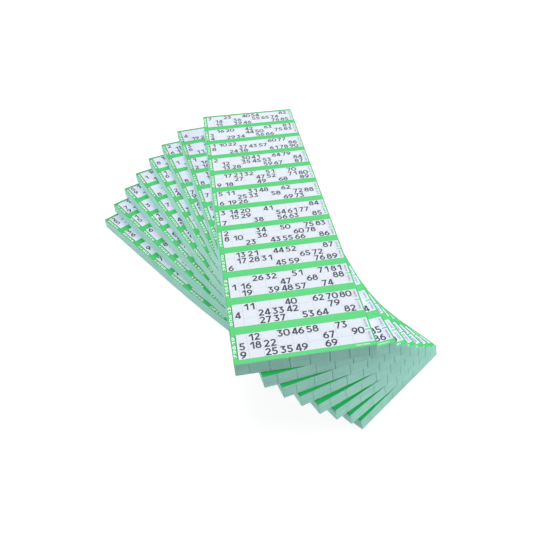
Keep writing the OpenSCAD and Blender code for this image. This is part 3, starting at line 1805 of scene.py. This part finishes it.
@dataclass(frozen=True)
class Lamp:
    """A soft box. A low one is kept out of the gloss, where it would whiten the print."""

    name: str
    spot: tuple[float, float, float]
    aim: tuple[float, float, float]
    size: float
    watts: float
    tint: tuple[float, float, float] = (1.0, 1.0, 1.0)
    in_gloss: bool = True

    def hang(self) -> None:
        """Hangs the lamp and turns it to what it lights."""
        let_go()
        bpy.ops.object.light_add(type="AREA", location=self.spot)
        lamp = bpy.context.object
        lamp.name = self.name
        lamp.data.shape = "SQUARE"
        lamp.data.size = self.size
        lamp.data.energy = self.watts
        lamp.data.color = self.tint
        lamp.visible_glossy = self.in_gloss
        aim = Vector(self.aim) - Vector(self.spot)
        lamp.rotation_euler = aim.to_track_quat("-Z", "Y").to_euler()


@dataclass
class Studio:
    """The floor, the light and the camera."""

    sky: float = 0.13
    lamps: tuple[Lamp, ...] = (
        Lamp("key", spot=(0.35, 1.75, 2.65), aim=(0, 0, 0.05), size=1.7, watts=51.0),
        Lamp("top", spot=(-0.4, 0.15, 2.5), aim=(0, 0, 0.05), size=1.1, watts=17.0),
        Lamp(
            "left",
            spot=(-3.0, 0.15, 0.6),
            aim=(0, 0, 0.03),
            size=1.1,
            watts=56.0,
            in_gloss=False,
        ),
        Lamp(
            "right",
            spot=(1.75, -0.52, 0.4),
            aim=(0, -0.08, 0.03),
            size=0.9,
            watts=41.0,
            tint=(1.0, 0.97, 0.98),
            in_gloss=False,
        ),
    )
    floor_size: float = 6.0
    floor_paint: Colour = (0.62, 0.62, 0.62, 1)
    floor_drift: Colour = (0.6, 0.6, 0.61, 1)
    grain_scale: float = 40.0
    # How much of the white lies over the floor's own paint, and how strong it is
    whitened: float = 0.72
    glow: float = 1.25
    # Between these distances from the pile, the floor fades into the white
    fade: tuple[float, float] = (0.6, 1.5)
    sensor: float = 36.0
    clip: tuple[float, float] = (0.01, 50.0)
    # The camera as it was fitted to the photograph, in its pixels and in degrees
    focal_px: float = 574.7
    frame_px: float = 540.0
    middle_px: tuple[float, float] = (290.0, 250.0)
    azimuth: float = -9.2555
    elevation: float = 40.7825
    roll: float = -0.8803
    distance: float = 0.58203
    target: tuple[float, float, float] = (0.00277, 0.06468, 0.0)

    def light(self) -> None:
        """Lights the scene, and shows white behind it."""
        scene = bpy.context.scene
        scene.view_settings.view_transform = "Standard"
        world = bpy.data.worlds.new("studio")
        scene.world = world
        nodes = Nodes(world)
        seen = self._seen(nodes)
        strength = self.sky + seen * (1 - self.sky)
        sky = nodes.add(
            "ShaderNodeBackground", None, {"Color": WHITE, "Strength": strength}
        )
        nodes.add("ShaderNodeOutputWorld", None, {"Surface": sky})
        for lamp in self.lamps:
            lamp.hang()

    def _seen(self, nodes: Nodes) -> Socket:
        """Tells what the camera sees, straight, in a gloss or through glass, from the rest.

        Args:
            nodes: The nodes that it is added to.

        Returns:
            1 for what is seen, and 0 for the rest.
        """
        seen = nodes.add("ShaderNodeLightPath", output="Is Camera Ray")
        for name in ("Is Glossy Ray", "Is Transmission Ray"):
            ray = nodes.add("ShaderNodeLightPath", output=name)
            seen = nodes.add("ShaderNodeMath", {"operation": "MAXIMUM"}, {0: seen, 1: ray})
        return seen

    def floor(self) -> None:
        """Lays the pale floor, which is white to the camera and keeps the shadow."""
        half = self.floor_size / 2
        floor = start_sheet("floor", self.floor_size, self.floor_size)
        floor.location = (-half, -half, 0)
        take(floor)
        bpy.ops.object.transform_apply(location=True, rotation=True, scale=True)
        material = bpy.data.materials.new("pale_floor")
        nodes = Nodes(material)
        spot = nodes.place()
        grain = nodes.noise(spot, self.grain_scale, 3)
        paint = nodes.mix(grain, self.floor_paint, self.floor_drift)
        matt = nodes.add("ShaderNodeBsdfDiffuse", None, {"Color": paint})
        glow = nodes.add("ShaderNodeEmission", None, {"Color": WHITE, "Strength": self.glow})
        # Far from the pile there is no shadow to keep, and no edge of the floor may show
        away = nodes.add("ShaderNodeVectorMath", {"operation": "LENGTH"}, {0: spot}, "Value")
        far = nodes.span(away, *self.fade)
        share = self._seen(nodes) * (self.whitened + far * (1 - self.whitened))
        shader = nodes.add("ShaderNodeMixShader", None, {0: share, 1: matt, 2: glow})
        nodes.add("ShaderNodeOutputMaterial", None, {"Surface": shader})
        floor.data.materials.append(material)

    def camera(self) -> None:
        """Sets the camera where the photograph was taken from."""
        azimuth, elevation, roll = map(math.radians, (self.azimuth, self.elevation, self.roll))
        back = Vector(
            (
                math.sin(azimuth) * math.cos(elevation),
                -math.cos(azimuth) * math.cos(elevation),
                math.sin(elevation),
            )
        )
        level = Vector((math.cos(azimuth), math.sin(azimuth), 0))
        upright = back.cross(level)
        right = level * math.cos(roll) + upright * math.sin(roll)
        up = upright * math.cos(roll) - level * math.sin(roll)
        let_go()
        bpy.ops.object.camera_add(location=(0, 0, 0))
        camera = bpy.context.object
        spot = Vector(self.target) + back * self.distance
        turn = Matrix((right, up, back)).transposed().to_4x4()
        camera.matrix_world = Matrix.Translation(spot) @ turn
        lens = camera.data
        lens.sensor_width = self.sensor
        lens.lens = self.focal_px / self.frame_px * lens.sensor_width
        lens.shift_x = (self.frame_px / 2 - self.middle_px[0]) / self.frame_px
        lens.shift_y = (self.middle_px[1] - self.frame_px / 2) / self.frame_px
        lens.clip_start, lens.clip_end = self.clip
        bpy.context.scene.camera = camera


def main() -> None:
    """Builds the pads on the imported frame, then the studio round them."""
    logging.basicConfig(level=logging.INFO, format="%(name)s: %(message)s")
    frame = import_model()
    studio = Studio()
    studio.camera()
    studio.light()
    studio.floor()
    Fan(frame).build()


if __name__ == "__main__":
    main()
